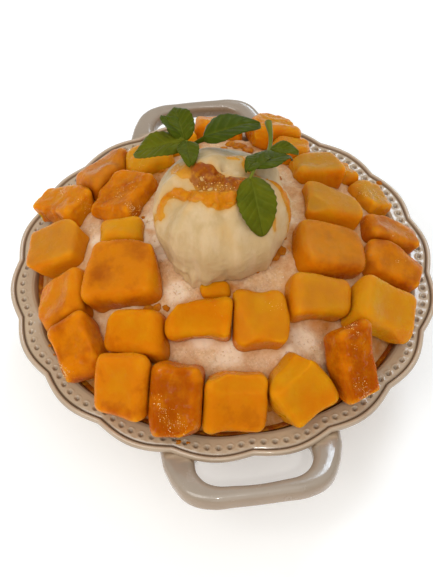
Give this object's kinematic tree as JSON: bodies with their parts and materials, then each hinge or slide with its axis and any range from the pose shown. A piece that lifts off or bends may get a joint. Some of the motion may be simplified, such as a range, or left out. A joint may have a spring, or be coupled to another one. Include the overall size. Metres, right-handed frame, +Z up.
{
  "type": "shaved ice dessert in a two-handled dish",
  "caption": "Dome of shaved ice in a scalloped two-handled stoneware dish, with mango cubes, a scoop of ice cream with mango puree, and mint on top.",
  "frame": {"origin": "on the table, in the middle of the dish's foot and of its whole length over the handles", "axes": "+Z up; Y runs through both handles, with -Y towards the viewer of the picture; +X to the right"},
  "size_m": [0.2, 0.2342, 0.1239],
  "materials": {
    "stoneware_glaze": "glossy beige glaze with brown edges and dark pits",
    "shaved_ice": "wet, fine-grained milk ice stained by mango syrup",
    "ice_cream": "soft creamy surface with drag grooves, glossy puree on top",
    "mango_flesh": "wet orange flesh with fine fibres",
    "mint_leaf": "dark green serrated leaves, satin"
  },
  "bodies": {
    "root": {"dish": "stoneware_glaze", "shaved_ice": "shaved_ice", "ice_cream": "ice_cream", "mango_01": "mango_flesh", "mango_02": "mango_flesh", "mango_03": "mango_flesh", "mango_04": "mango_flesh", "mango_05": "mango_flesh", "mango_06": "mango_flesh", "mango_07": "mango_flesh", "mango_08": "mango_flesh", "mango_09": "mango_flesh", "mango_10": "mango_flesh", "mango_11": "mango_flesh", "mango_12": "mango_flesh", "mango_13": "mango_flesh", "mango_14": "mango_flesh", "mango_15": "mango_flesh", "mango_16": "mango_flesh", "mango_17": "mango_flesh", "mango_18": "mango_flesh", "mango_19": "mango_flesh", "mango_20": "mango_flesh", "mango_21": "mango_flesh", "mango_22": "mango_flesh", "mango_23": "mango_flesh", "mango_24": "mango_flesh", "mango_25": "mango_flesh", "mango_26": "mango_flesh", "mango_27": "mango_flesh", "mango_28": "mango_flesh", "mango_29": "mango_flesh", "mango_30": "mango_flesh", "mango_31": "mango_flesh", "mint_left": "mint_leaf", "mint_right": "mint_leaf"}
  },
  "joints": []
}
